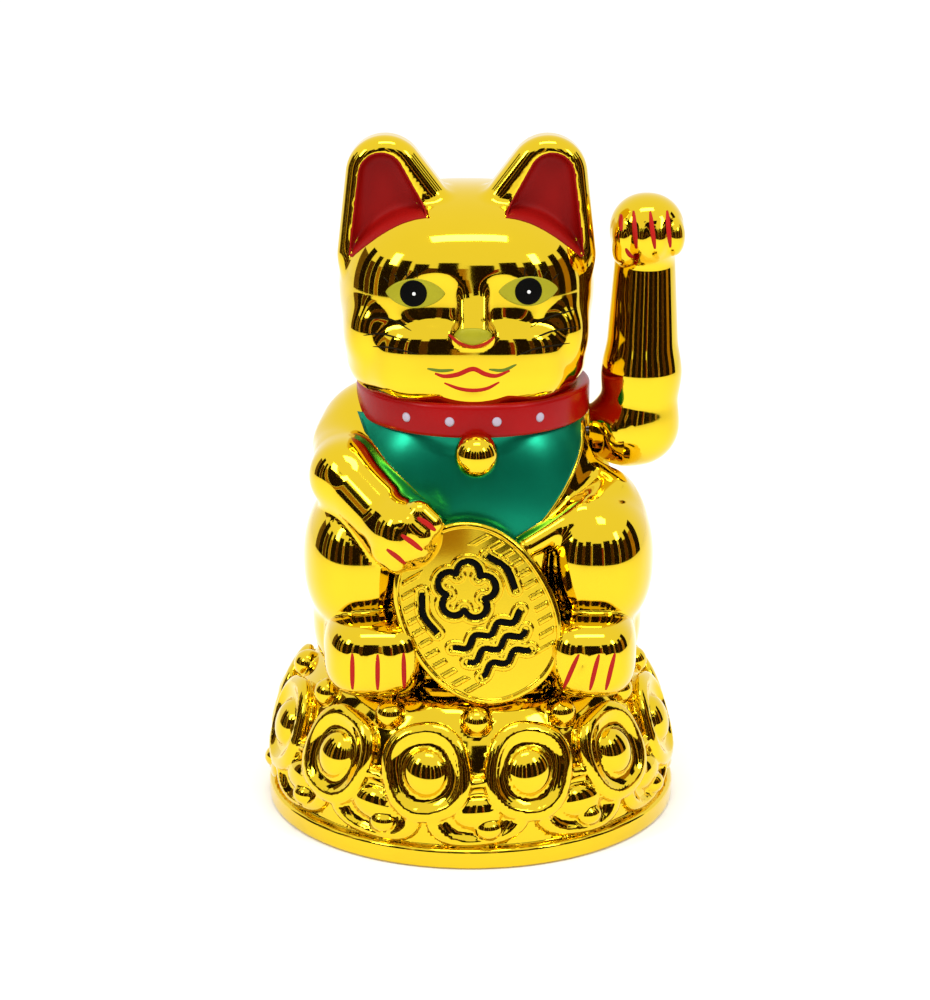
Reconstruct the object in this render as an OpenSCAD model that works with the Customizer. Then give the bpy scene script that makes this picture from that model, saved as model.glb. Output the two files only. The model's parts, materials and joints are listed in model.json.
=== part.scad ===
/* [Figure] */
// Height from the table to the ear tips
figure_h = 152; // [150:0.5:154]
// Diameter of the base at its rim
base_d = 92.5; // [91:0.5:95]
// Wall thickness of the plated shells
wall = 2; // [1.8:0.1:2.2]
// Width of the head across the cheeks
head_w = 54.5; // [53:0.5:56]
// Width of the body across the haunches
haunch_w = 78; // [76:0.5:80]

/* [Coin] */
// Length of the coin held in front
coin_l = 41; // [39:0.5:42]
// Width of the coin
coin_w = 33.5; // [32:0.5:35]
// Thickness of the coin
coin_t = 5; // [4.5:0.1:5.5]

/* [Beckoning arm] */
// Height of the shoulder pivot above the table
pivot_z = 85; // [84.5:0.1:85.5]
// Distance of the forearm from the middle of the figure
arm_x = 38.7; // [38.5:0.1:39.5]
// Height of the raised paw's tip
paw_top_z = 138.5; // [137:0.5:140]
// Radius of the forearm
arm_r = 7; // [6.8:0.1:7.2]

/* [Mechanism] */
// Diameter of the steel pivot wire
wire_d = 2; // [1.9:0.05:2.1]
// Distance between the two bearings
bearing_span = 32; // [30:0.5:33]
// Depth of the magnet's face below the pivot
magnet_drop = 48; // [47:0.5:49]

/* [Battery] */
// Diameter of one AA cell
cell_d = 14.3; // [14.2:0.1:14.5]
// Length of one AA cell with its button
cell_l = 50.2; // [49.5:0.1:50.5]

/* [Hidden] */
$fn = 48;
gap = 0.3;

// Base: a rim, then a mound of ingots that narrows upwards
base_r = base_d / 2;
rim_h = 4.2;
mound_top_z = 34;
cover_t = 2.5;
cover_r = base_r - 2.8;

// Heights along the figure, counted from the table
neck_z = 92;
chin_z = 95;
head_top_z = figure_h - 11;
head_mid_z = 115;
shoulder_x = 25.4;
ledge_z = 76.6;
ear_y = 0;
ear_cup_y = -3;

// Battery bay under the coil
bay_wall = 1.6;
door_t = 1.6;
door_recess = 0.2;
cell_z = door_t + door_recess + 0.4 + cell_d / 2;
bay_l = cell_l + 7;
bay_w = cell_d + 1.2;
bay_top_z = cell_z + cell_d / 2 + 0.6 + bay_wall;
cell_r = cell_d / 2;

tab_z = bay_top_z - 5.8;

// Cradle that carries the shaft
frame_z = bay_top_z + 1.2;
frame_t = 2;
upright_t = 2.6;
wire_r = wire_d / 2;
bush_r = 2.5;
post_y = 15;
magnet_z = pivot_z - magnet_drop;

// Coil
coil_z = frame_z + frame_t;
coil_h = magnet_z - 3 - coil_z;
coil_r = 9;
core_r = 3.6;
flange_t = 1.2;

// Board and switch on the base cover
board_z = 9;
board_y = 26;
board_l = 30;
board_w = 13;
board_t = 1.6;
switch_y = -25;
switch_travel = 3;
switch_ear_z = 5.5;

// Arm
arm_wall = 1.5;
root_r = 6.1;
root_x = shoulder_x + 0.9;
elbow_r = 7.6;
paw_r = 7.7;
wire_up = 26;
wire_bend = 3;

ingot_count = 12;
ingot_turn = 17;
screw_spots = [[31, 25], [-31, 25], [31, -25], [-31, -25]];
pin_spots = [[22.6, 126], [-22.6, 126], [-30.5, 66], [31, 56]];

// Closed solid through a list of oval rings: [height, half width, half depth, centre y]
module loft(rings, power = 2, around = 40, inset = 0) {
    n = len(rings);
    sides = facets(around, inset);
    function lobe(c) = sign(c) * pow(abs(c), 2 / power);
    points = [for (r = rings, i = [0:sides - 1])
        let (t = 360 * i / sides)
        [(r[1] - inset) * lobe(cos(t)), r[3] + (r[2] - inset) * lobe(sin(t)), r[0]]];
    walls = [for (k = [0:n - 2], i = [0:sides - 1])
        let (a = k * sides + i, b = k * sides + (i + 1) % sides)
        [a, a + sides, b + sides, b]];
    bottom = [[for (i = [0:sides - 1]) i]];
    top = [[for (i = [0:sides - 1]) n * sides - 1 - i]];
    polyhedron(points, concat(bottom, walls, top));
}

// Round tube along a list of points
module tube(points, r, sides = 8) {
    n = len(points);
    function unit(v) = v / norm(v);
    function along(k) = unit(points[min(k + 1, n - 1)] - points[max(k - 1, 0)]);
    function side_of(d) = unit(cross(d, abs(d[2]) > 0.9 ? [1, 0, 0] : [0, 0, 1]));
    rings = [for (k = [0:n - 1], i = [0:sides - 1])
        let (d = along(k), u = side_of(d), v = cross(d, u), t = 360 * i / sides)
        points[k] + r * (cos(t) * u + sin(t) * v)];
    walls = [for (k = [0:n - 2], i = [0:sides - 1])
        let (a = k * sides + i, b = k * sides + (i + 1) % sides)
        [a, a + sides, b + sides, b]];
    polyhedron(rings, concat([[for (i = [0:sides - 1]) i]], walls,
                             [[for (i = [0:sides - 1]) n * sides - 1 - i]]));
}

// Smooth route through a few points: each inner point becomes a short curve
function curve(p, steps = 4) = concat([p[0]],
    [for (k = [1:len(p) - 2], i = [0:steps])
        let (t = i / steps, a = (p[k - 1] + p[k]) / 2, b = (p[k] + p[k + 1]) / 2)
        a * (1 - t) * (1 - t) + 2 * p[k] * t * (1 - t) + b * t * t],
    [p[len(p) - 1]]);

// The hollow side of a shell is drawn with fewer facets than the outside
function facets(n, inset) = inset > 0 ? 2 * round(n * 0.3) : n;

module ellipsoid(at, radii, inset = 0, sides = 24) {
    translate(at) scale([for (r = radii) r - inset]) sphere(1, $fn = facets(sides, inset));
}

// Chain of rounded limbs: [x, y, z, radius]
module limb(balls, inset = 0, sides = 20) {
    for (k = [0:len(balls) - 2]) hull() {
        for (b = [balls[k], balls[k + 1]])
            translate([b[0], b[1], b[2]]) sphere(b[3] - inset, $fn = facets(sides, inset));
    }
}

module cyl_x(r, x0, x1, y = 0, z = 0) {
    translate([x0, y, z]) rotate([0, 90, 0]) cylinder(r = r, h = x1 - x0);
}

// ---- Outline of the figure, inset by a wall for its hollow ----

// Radius of the mound at a height
function mound_r(z) = base_r - lookup(z, [[0, 0], [rim_h, 0], [rim_h + 0.6, 2], [14, 2.8], [22, 5],
                                          [29, 8.6], [mound_top_z - 1.2, 11.5], [mound_top_z, 14]]);

module mound(inset) {
    top = mound_top_z - inset;
    loft([for (z = [inset > 0 ? -1 : 0, rim_h, rim_h + 0.6, 14, 22, 29, top - 1.2, top])
          [z, mound_r(z), mound_r(z), 0]], around = 56, inset = inset);
}

module torso(inset) {
    w = haunch_w / 2;
    loft([[24, w - 6, 28, 0], [40, w - 4.5, 28, 0], [50, w - 3, 28.5, 0.5], [60, w - 2.5, 28.5, 0.5],
          [69, w - 3.6, 27.5, 0.5], [78, w - 6.6, 26, 0.5], [85, w - 9.8, 25, 0.5],
          [neck_z - inset, w - 14, 23, 0]], power = 2.15, inset = inset);
}

module head(inset) {
    w = head_w / 2;
    loft([[chin_z + inset, w - 9, 17, 0], [chin_z + 3, w - 4.4, 20.5, 0], [chin_z + 9, w - 1.2, 22.8, 0],
          [head_mid_z, w, 23.5, 0], [head_mid_z + 9, w - 0.4, 23, 0], [head_top_z - 8.5, w - 2, 21.2, 0],
          [head_top_z - 3.5, w - 5, 18, 0], [head_top_z - 0.8 - inset, w - 10, 13, 0],
          [head_top_z - inset, w - 15, 8, 0]], power = 2.35, inset = inset);
    translate([0, 0, neck_z - 3]) cylinder(r = 21 - inset, h = 12);
}

module ear(side, inset) {
    shrink = inset ? 3 : 0;
    y = ear_y + shrink / 2;
    hull() {
        translate([side * 17.2, y, figure_h - 7.2]) scale([1.42, 0.7, 1])
            sphere(7.2 - shrink, $fn = facets(24, inset));
        translate([side * 21.6, y, 130]) scale([1, 0.9, 1]) sphere(5.8 - shrink, $fn = facets(16, inset));
        translate([side * 9.5, y, 133]) scale([1, 0.9, 1]) sphere(5 - shrink, $fn = facets(16, inset));
    }
}

// Shallow cup in the front of an ear, which carries the red paint
module ear_cup(side, grow = 0) {
    deep = ear_cup_y + 12 + grow;
    translate([side * 0.3, -12, 0]) rotate([-90, 0, 0]) hull() {
        translate([side * 18.2, -figure_h + 9.4, 0]) cylinder(r = 5 + grow, h = deep, $fn = 24);
        translate([side * 23.4, -131.5, 0]) cylinder(r = 2 + grow, h = deep, $fn = 12);
        translate([side * 10.6, -136, 0]) cylinder(r = 2 + grow, h = deep, $fn = 12);
    }
}

module fixed_arm(inset) {
    limb([[-25, -1, 83, 8.6], [-28.6, -11, 77.5, 8], [-17, -24.5, 71.5, 7], [-10.5, -28, 68, 6.8]], inset);
}

module haunches(inset) {
    for (side = [-1, 1]) {
        ellipsoid([side * (haunch_w / 2 - 14.2), -11, 58.5], [14.2, 16.5, 16.5], inset);
        limb([[side * 24.5, -17, 41, 10.5], [side * 24.5, -22.5, 40.5, 9.2]], inset);
    }
}

module muzzle() {
    for (side = [-1, 1]) ellipsoid([side * 4.6, -19.4, 105.4], [7.6, 6, 5.4], sides = 20);
    ellipsoid([0, -20, 100.6], [6.4, 4.4, 3], sides = 16);
    limb([[0, -21.5, 126, 3.4], [0, -23.2, 112, 2.8]], 0, 14);
    for (side = [-1, 1]) limb([[side * 3, -20.5, 127, 3], [side * 17, -17, 127.5, 3]], 0, 14);
}

module collar() {
    translate([0, 0, 90.4]) cylinder(r1 = 24.9, r2 = 25.1, h = 5.8, $fn = 56);
}

module bell() {
    translate([1, -25.6, 87.6]) sphere(4.6, $fn = 24);
}

module coin() {
    translate([1.5, -29.2, 53]) rotate([90 - 13, 0, 0]) rotate([0, 0, -60])
        scale([1, coin_w / coin_l, 1]) cylinder(d = coin_l, h = coin_t, $fn = 48);
}

module tail(inset) {
    limb([[0, 26, 43, 5.5], [13, 26, 39, 5], [24, 21.5, 41, 4.5], [29, 18, 48, 4]], inset, 16);
}

// One ingot on the mound: an oval dish with a dome in it
module ingot(turn, z, w, h) {
    lean = atan2(mound_r(z - 5) - mound_r(z + 5), 10);
    rotate([0, 0, turn]) translate([0, -mound_r(z) + 1, z]) rotate([90 - lean, 0, 0]) {
        difference() {
            scale([w / 2, h / 2, 1]) cylinder(r1 = 1, r2 = 0.86, h = 2.4, $fn = 16);
            translate([0, 0, 1.2]) scale([w / 2, h / 2, 1]) cylinder(r1 = 0.5, r2 = 0.74, h = 1.3, $fn = 12);
        }
        scale([w / 4.6, h / 4.6, 3.2]) sphere(1, $fn = 10);
    }
}

module ingots() {
    for (k = [0:ingot_count - 1]) ingot(ingot_turn + 360 * k / ingot_count, 20, 19, 18.5);
    for (k = [0:ingot_count - 1]) ingot(ingot_turn + 360 * (k + 0.5) / ingot_count, 9, 14, 7.4);
}

module figure(inset) {
    mound(inset);
    torso(inset);
    head(inset);
    for (side = [-1, 1]) ear(side, inset);
    haunches(inset);
    fixed_arm(inset);
    tail(inset);
}

// Slanted seat cut into the left shoulder, where the beckoning arm turns
module shoulder_cut(grow = 0) {
    translate([shoulder_x - grow, -40, ledge_z - grow]) cube([30, 80, neck_z - ledge_z - 2 + 2 * grow]);
}

module whole_outside() {
    difference() {
        union() {
            figure(0);
            muzzle();
            coin();
            ingots();
        }
        for (side = [-1, 1]) ear_cup(side);
        shoulder_cut();
    }
    collar();
    bell();
}

module whole_hollow() {
    difference() {
        figure(wall);
        shoulder_cut(wall);
        for (side = [-1, 1]) ear_cup(side, wall * 0.9);
    }
    translate([0, 0, -1]) cylinder(r = cover_r + gap, h = cover_t + 1.05);
}

module shell_bosses() {
    for (s = screw_spots) translate([s[0], s[1], cover_t + 0.2]) cylinder(r = 3, h = 12, $fn = 24);
    intersection() {
        figure(wall / 2);
        for (p = pin_spots) translate([p[0], 0, p[1]]) rotate([90, 0, 0])
            cylinder(r = 3, h = 12, center = true, $fn = 24);
    }
}

module screw_holes() {
    for (s = screw_spots) translate([s[0], s[1], cover_t]) cylinder(r = 1.1, h = 10, $fn = 20);
}

module shaft_hole() {
    cyl_x(wire_r + 0.8, shoulder_x - 6, shoulder_x + 6, 0, pivot_z);
}

module pins(grow = 0) {
    for (p = pin_spots) translate([p[0], -3, p[1]]) rotate([-90, 0, 0])
        cylinder(r = 1.4 + grow, h = 6 + 2 * grow, $fn = 20);
}

module half_space(side) {
    translate([-60, side > 0 ? 0 : -60, -5]) cube([120, 60, 170]);
}

module shell_half(side) {
    difference() {
        intersection() {
            union() {
                difference() {
                    whole_outside();
                    whole_hollow();
                }
                shell_bosses();
            }
            half_space(side);
        }
        screw_holes();
        shaft_hole();
        if (side > 0) pins(0.12);
    }
}

module front_shell() {
    color("gold") {
        shell_half(-1);
        pins();
    }
}

module rear_shell() {
    color("gold") shell_half(1);
}

// ---- Base cover, battery and its door ----

module door_shape(grow = 0) {
    translate([0, 0, door_t / 2 + door_recess])
        cube([bay_l + 4 + 2 * grow, bay_w + 4 + 2 * grow, door_t], center = true);
}

module base_cover() {
    color("ivory") difference() {
        union() {
            cylinder(r = cover_r, h = cover_t);
            translate([-bay_l / 2 - bay_wall, -bay_w / 2 - bay_wall, 0])
                cube([bay_l + 2 * bay_wall, bay_w + 2 * bay_wall, bay_top_z]);
            for (side = [-1, 1]) translate([0, side * post_y, 0]) cylinder(r = 3.5, h = frame_z);
            for (side = [-1, 1]) translate([side * 11, board_y, 0]) cylinder(r = 2.6, h = board_z);
            for (side = [-1, 1]) translate([side * 8.7, switch_y, 0]) {
                cylinder(r = 1.9, h = switch_ear_z);
                cylinder(r = 0.7, h = switch_ear_z + 1.4);
            }
        }
        translate([-bay_l / 2, -bay_w / 2, -1]) cube([bay_l, bay_w, bay_top_z - bay_wall + 1]);
        translate([0, 0, -door_recess - 0.01]) door_shape(gap);
        door_shape(gap);
        translate([-bay_l / 2 - bay_wall - 1, -3, bay_top_z - 7]) cube([bay_l + 2 * bay_wall + 2, 3, 2.4]);
        for (s = screw_spots) translate([s[0], s[1], -1]) cylinder(r = 1.7, h = 5);
        for (s = screw_spots) translate([s[0], s[1], -0.01]) cylinder(r = 3, h = 1.2);
        for (side = [-1, 1]) translate([0, side * post_y, frame_z - 9]) cylinder(r = 1, h = 10);
        for (side = [-1, 1]) translate([side * 11, board_y, board_z - 6]) cylinder(r = 0.9, h = 7);
        translate([-3.4, switch_y - 1.7, -1]) cube([6.8, 3.4, cover_t + 2]);
    }
}

// Pan-head screw: head down at the given height, shank upwards
module screw_up(head_r, head_h, shank_r, shank_h) {
    difference() {
        cylinder(r = head_r, h = head_h);
        for (a = [0, 90]) rotate([0, 0, a])
            translate([-head_r * 0.6, -0.3, -0.01]) cube([head_r * 1.2, 0.6, head_h / 2]);
    }
    translate([0, 0, head_h]) cylinder(r = shank_r, h = shank_h);
}

module base_screws() {
    color("silver") for (s = screw_spots)
        translate([s[0], s[1], 0.15]) screw_up(2.8, 1.04, 1.05, 10);
}

module battery_door() {
    color("ivory") difference() {
        union() {
            door_shape();
            translate([bay_l / 2 - 1.4, -3, door_t]) cube([0.8, 6, 1.9]);
            for (side = [-1, 1]) translate([-bay_l / 2 + 0.6, side * 4 - 1.5, door_t]) cube([0.8, 3, 1.9]);
        }
        for (k = [0:3]) translate([bay_l / 2 - 9 + 2 * k, -4, 0]) cube([0.8, 8, door_recess + 0.5]);
    }
}

module battery_cell() {
    x0 = -cell_l / 2 + 1;
    color("darkgreen") {
        cyl_x(cell_r, x0, x0 + cell_l - 1.5, 0, cell_z);
        cyl_x(2.6, x0 + cell_l - 1.6, x0 + cell_l, 0, cell_z);
    }
}

// Solder tab of a contact, out through the slot in the end of the bay
module contact_tab(side) {
    x = side * (bay_l / 2 + 1.2);
    translate([x - 1.6, -2.5, tab_z - 0.2]) cube([3.2, 2, 0.4]);
}

// Coil of wire that pushes the cell against the far contact
module battery_spring() {
    turns = 3;
    steps = 14;
    x0 = -bay_l / 2 + 0.5;
    reach = -cell_l / 2 + 1 - x0 - 0.5;
    color("silver") {
        translate([-bay_l / 2 + 0.05, -5.5, cell_z - 5.5]) cube([0.4, 11, 11]);
        contact_tab(-1);
        tube([for (i = [0:turns * steps])
            let (t = i / steps, r = 4.6 - 0.7 * t)
            [x0 + 0.25 + (reach - 0.3) * t / turns, r * cos(360 * t), cell_z + r * sin(360 * t)]], 0.35, 6);
    }
}

module battery_plate() {
    x = cell_l / 2 + 1.05;
    color("silver") {
        translate([bay_l / 2 - 0.45, -5.5, cell_z - 5.5]) cube([0.4, 11, 11]);
        contact_tab(1);
        cyl_x(3, x, bay_l / 2 - 0.4, 0, cell_z);
    }
}

// ---- Cradle, coil and electronics ----

module mechanism_frame() {
    x = bearing_span / 2;
    color("white") difference() {
        union() {
            translate([-x - 1.3, -post_y - 4, frame_z]) cube([2 * x + 2.6, 2 * post_y + 8, frame_t]);
            for (side = [-1, 1]) translate([side * x - upright_t / 2, -5, frame_z])
                cube([upright_t, 10, pivot_z - frame_z]);
            for (side = [-1, 1]) cyl_x(5, side * x - upright_t / 2, side * x + upright_t / 2, 0, pivot_z);
            for (side = [-1, 1], back = [-1, 1]) translate([side * x - 0.8, back * 8.4 - 3.6, frame_z])
                cube([1.6, 7.2, 12]);
        }
        cyl_x(bush_r, -x - 3, x + 3, 0, pivot_z);
        for (side = [-1, 1]) translate([0, side * post_y, frame_z - 1]) cylinder(r = 1.3, h = frame_t + 2);
        translate([0, 0, frame_z - 1]) cylinder(r = 1.6, h = frame_t + 2);
    }
}

module screw_down(head_r, head_h, shank_r, shank_h) {
    mirror([0, 0, 1]) screw_up(head_r, head_h, shank_r, shank_h);
}

module frame_screws() {
    color("silver") for (side = [-1, 1])
        translate([0, side * post_y, frame_z + frame_t + 1.3]) screw_down(2.4, 1.3, 0.95, frame_t + 6);
}

module bearing_bush(side) {
    x = side * bearing_span / 2;
    color("peru") difference() {
        union() {
            cyl_x(bush_r, x - upright_t / 2, x + upright_t / 2, 0, pivot_z);
            cyl_x(bush_r + 1, x - side * upright_t / 2 - 0.5 - side * 0.5,
                  x - side * upright_t / 2 + 0.5 - side * 0.5, 0, pivot_z);
        }
        cyl_x(wire_r + 0.05, x - 4, x + 4, 0, pivot_z);
    }
}

module coil_bobbin() {
    color("white") translate([0, 0, coil_z]) {
        difference() {
            union() {
                cylinder(r = coil_r + 1, h = flange_t);
                cylinder(r = core_r, h = coil_h);
                translate([0, 0, coil_h - flange_t]) cylinder(r = coil_r + 1, h = flange_t);
            }
            translate([0, 0, 2]) cylinder(r = 1.8, h = coil_h);
        }
        translate([0, 0, -frame_t]) cylinder(r = 1.5, h = frame_t + 0.1);
    }
}

module coil_winding() {
    color("chocolate") translate([0, 0, coil_z + flange_t]) difference() {
        cylinder(r = coil_r, h = coil_h - 2 * flange_t);
        translate([0, 0, -1]) cylinder(r = core_r, h = coil_h);
    }
}

module circuit_board() {
    color("green") translate([0, board_y, board_z]) difference() {
        translate([-board_l / 2, -board_w / 2, 0]) cube([board_l, board_w, board_t]);
        for (side = [-1, 1]) translate([side * 11, 0, -1]) cylinder(r = 1.1, h = board_t + 2);
    }
}

module board_screws() {
    color("silver") for (side = [-1, 1])
        translate([side * 11, board_y, board_z + board_t + 1]) screw_down(1.9, 1, 0.85, board_t + 4);
}

module transistor() {
    color("black") translate([-4, board_y + 1, board_z + board_t]) {
        translate([0, 0, 2]) difference() {
            cylinder(r = 2.3, h = 4.6);
            translate([-3, 1.2, -1]) cube([6, 3, 7]);
        }
        for (k = [-1:1]) translate([k * 1.2 - 0.25, -0.2, 0]) cube([0.5, 0.5, 2.1]);
    }
}

module capacitor() {
    color("navy") translate([4.5, board_y + 1.5, board_z + board_t]) {
        cylinder(r = 2.5, h = 6.5);
        translate([0, 0, 6.4]) cylinder(r = 2.1, h = 0.4);
    }
}

module resistor() {
    z = board_z + board_t + 1.1;
    color("tan") {
        cyl_x(1, -2.8, 2.8, board_y - 4, z);
        for (side = [-1, 1]) {
            cyl_x(0.25, side > 0 ? 2.7 : -4, side > 0 ? 4 : -2.7, board_y - 4, z);
            translate([side * 4, board_y - 4, board_z + board_t]) cylinder(r = 0.35, h = 1.6);
        }
    }
}

module switch_housing() {
    color("dimgray") difference() {
        translate([-10.5, switch_y - 3.2, cover_t]) union() {
            translate([4, 0, 0.05]) cube([13, 6.4, 5]);
            translate([0, 0.9, switch_ear_z - cover_t + 0.05]) cube([21, 4.6, 0.8]);
        }
        for (side = [-1, 1]) translate([side * 8.7, switch_y, 3]) cylinder(r = 0.75, h = 6);
        translate([-4.6, switch_y - 1.9, cover_t - 1]) cube([9.2, 3.8, 3.2]);
    }
}

module switch_slider() {
    color("black") translate([-switch_travel / 2, switch_y, 0]) {
        translate([-1.6, -1.4, 0.3]) cube([3.2, 2.8, cover_t + 0.5]);
        translate([-2.8, -1.6, cover_t + 0.3]) cube([5.6, 3.2, 1.4]);
    }
}

// Leads between the battery contacts, the switch, the board and the coil
module lead_red() {
    color("red") tube(curve([[bay_l / 2 + 2.4, -1.6, tab_z + 0.78], [33, -1.6, 14], [34.5, -8, 14],
                             [27, -19, 13], [16, -24, 11], [5, -25, 10], [3, -25, 7.7]]), 0.55);
}

module lead_black() {
    color("black") tube(curve([[-bay_l / 2 - 2.4, -1.6, tab_z + 0.78], [-33, -1.6, 14], [-34.5, 6, 14],
                               [-27, 16, 14], [-18, 22, 13.5], [-13.8, 27, 12.5], [-13.8, 28, 10.95]]), 0.55);
}

module lead_switch() {
    color("orange") tube(curve([[-3, -25, 7.7], [-5, -25, 10], [-16, -24, 11], [-27, -19, 13], [-36, -6, 16],
                                [-36, 8, 16], [-26, 22, 15], [-16, 28.5, 12.5], [-12.3, 29, 10.98]]), 0.55);
}

module coil_leads() {
    color("peru") for (side = [-1, 1])
        tube(curve([[side * 2, coil_r + 0.3, coil_z + 3], [side * 2, 13, coil_z + 4.5],
                    [side * 3.5, 20.3, coil_z + 5], [side * 8, 24.5, coil_z - 2],
                    [side * 7.6, 28.4, board_z + 5], [side * 7.6, 28.4, board_z + board_t + 0.1]]), 0.3, 6);
}

// ---- Everything that swings on the pivot wire ----

module pivot_shaft() {
    x_in = -bearing_span / 2 - 4;
    color("silver") {
        cyl_x(wire_r, x_in, arm_x - wire_bend, 0, pivot_z);
        translate([arm_x - wire_bend, 0, pivot_z + wire_bend]) rotate([90, 0, 0])
            rotate([0, 0, -90]) rotate_extrude(angle = 90) translate([wire_bend, 0]) circle(wire_r);
        translate([arm_x, 0, pivot_z + wire_bend]) cylinder(r = wire_r, h = wire_up - wire_bend);
    }
}

module shaft_clips() {
    x = bearing_span / 2 + upright_t / 2;
    color("dimgray") for (at = [-x - 1.9, x + 0.5]) difference() {
        cyl_x(2.6, at, at + 1.4, 0, pivot_z);
        cyl_x(wire_r, at - 1, at + 3, 0, pivot_z);
    }
}

module pendulum_lever() {
    color("white") difference() {
        union() {
            cyl_x(4, -5, 5, 0, pivot_z);
            translate([-1.6, -3, magnet_z + 4]) cube([3.2, 6, magnet_drop - 4]);
            translate([0, 0, magnet_z]) cylinder(r = 7, h = 5.2);
            cyl_x(5.8, -4, 4, 0, magnet_z + 15);
        }
        cyl_x(wire_r, -8, 8, 0, pivot_z);
        cyl_x(4.5, -8, 8, 0, magnet_z + 15);
        translate([0, 0, magnet_z - 0.01]) cylinder(r = 5, h = 4.01);
    }
}

module pendulum_magnet() {
    color("silver") translate([0, 0, magnet_z]) cylinder(r = 5, h = 4);
}

module counterweight() {
    color("gray") cyl_x(4.5, -7, 7, 0, magnet_z + 15);
}

// Radius of the forearm and wrist at a height, widest at the elbow and the paw
function arm_radius(z) = arm_r - 0.5 * pow(cos(180 * (z - pivot_z - 8) / 40 - 90), 2);

module arm_outline(inset) {
    top = paw_top_z - paw_r;
    wrist = top - 8;
    profile = concat(
        [for (a = [-90:15:0]) [(elbow_r - inset) * cos(a), pivot_z + (elbow_r - inset) * sin(a)]],
        [for (z = [pivot_z + 6:6:wrist]) [arm_radius(z) - inset, z]],
        [for (a = [-30:15:90]) [(paw_r - 0.4 - inset) * cos(a), top + (paw_r - inset) * sin(a)]]);
    translate([arm_x, 0, 0]) rotate_extrude()
        polygon(concat([[0, pivot_z - elbow_r + inset]], [for (p = profile) [max(p[0], 0), p[1]]],
                       [[0, paw_top_z - inset]]));
    cyl_x(root_r - inset, root_x + inset, arm_x - 3, 0, pivot_z);
}

module arm_paw_bulge() {
    translate([arm_x, -2.6, paw_top_z - paw_r - 1.4]) sphere(6.7);
}

module arm_solid_shell() {
    difference() {
        union() {
            arm_outline(0);
            arm_paw_bulge();
        }
        arm_outline(arm_wall);
        cyl_x(wire_r + 0.1, root_x - 2, root_x + 4, 0, pivot_z);
    }
}

module arm_half(side) {
    intersection() {
        arm_solid_shell();
        translate([20, side > 0 ? 0.02 : -20.02, 60]) cube([40, 20, 90]);
    }
}

module arm_front_shell() {
    color("gold") arm_half(-1);
}

module arm_rear_shell() {
    color("gold") arm_half(1);
}

// Block inside the forearm that grips the upright end of the wire
module arm_wire_clip() {
    z = pivot_z + 14;
    color("white") difference() {
        translate([arm_x - 3.2, -3.4, z]) cube([6.4, 6.8, 14]);
        translate([arm_x, 0, z - 1]) cylinder(r = wire_r, h = wire_up - 14 + 1);
    }
}

front_shell();
rear_shell();
base_cover();
base_screws();
battery_door();
battery_cell();
battery_spring();
battery_plate();
mechanism_frame();
frame_screws();
bearing_bush(-1);  // bearing_bush_left
bearing_bush(1);  // bearing_bush_right
coil_bobbin();
coil_winding();
coil_leads();
circuit_board();
board_screws();
transistor();
capacitor();
resistor();
switch_housing();
switch_slider();
lead_red();
lead_black();
lead_switch();
pivot_shaft();
shaft_clips();
pendulum_lever();
pendulum_magnet();
counterweight();
arm_front_shell();
arm_rear_shell();
arm_wire_clip();
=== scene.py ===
import math

import bpy
import numpy as np
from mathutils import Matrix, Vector
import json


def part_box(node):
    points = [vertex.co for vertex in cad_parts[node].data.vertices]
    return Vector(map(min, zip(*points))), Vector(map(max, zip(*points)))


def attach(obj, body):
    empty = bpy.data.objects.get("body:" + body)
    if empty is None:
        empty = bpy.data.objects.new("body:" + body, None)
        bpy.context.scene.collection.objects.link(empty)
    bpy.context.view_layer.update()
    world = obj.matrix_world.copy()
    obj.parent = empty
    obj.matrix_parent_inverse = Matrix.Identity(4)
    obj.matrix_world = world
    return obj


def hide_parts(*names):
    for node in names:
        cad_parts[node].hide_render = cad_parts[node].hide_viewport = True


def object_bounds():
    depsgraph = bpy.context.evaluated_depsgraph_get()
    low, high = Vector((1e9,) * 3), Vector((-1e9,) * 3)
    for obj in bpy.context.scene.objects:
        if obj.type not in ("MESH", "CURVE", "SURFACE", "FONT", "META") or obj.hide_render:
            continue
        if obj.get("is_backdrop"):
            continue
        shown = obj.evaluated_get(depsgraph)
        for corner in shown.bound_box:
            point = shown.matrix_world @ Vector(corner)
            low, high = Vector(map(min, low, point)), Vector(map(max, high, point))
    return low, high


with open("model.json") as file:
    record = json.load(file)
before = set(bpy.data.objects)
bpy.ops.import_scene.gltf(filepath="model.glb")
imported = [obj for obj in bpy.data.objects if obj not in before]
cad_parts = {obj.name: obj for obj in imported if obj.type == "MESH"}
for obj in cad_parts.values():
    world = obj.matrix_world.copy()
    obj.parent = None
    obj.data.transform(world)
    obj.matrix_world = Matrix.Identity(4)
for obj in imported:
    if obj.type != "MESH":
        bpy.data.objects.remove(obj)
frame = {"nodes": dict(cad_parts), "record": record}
cad_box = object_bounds()

# Lengths below are millimetres in the frame of the CAD model, and MM turns them into metres.
MM = 0.001


def size_of(node):
    """Lowest and highest corner of a CAD node in millimetres."""
    return [np.array(corner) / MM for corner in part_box(node)]


SHELL_HIGH = size_of("rear_shell")[1]
ARM_HIGH = size_of("arm_rear_shell")[1]
SHAFT_LOW = size_of("pivot_shaft")[0]
SHAFT_R = 1.0
BASE_R = SHELL_HIGH[0]
EAR_TOP = SHELL_HIGH[2] - 0.2
ARM_TOP = ARM_HIGH[2]
ARM_OUT = ARM_HIGH[0]
PIVOT_Z = SHAFT_LOW[2] + SHAFT_R
WALL = 2.0
ARM_WALL = 1.5
MOUND_TOP = 34.0
HEAD_X = 27.3
HEAD_MID = -0.95

# Grid steps of the plated shells. A full build stays under 200,000 triangles a piece.
STEP_SHELL = 0.725
STEP_ARM = 0.42


# ---- Solid forms, as signed distances ----

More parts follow.
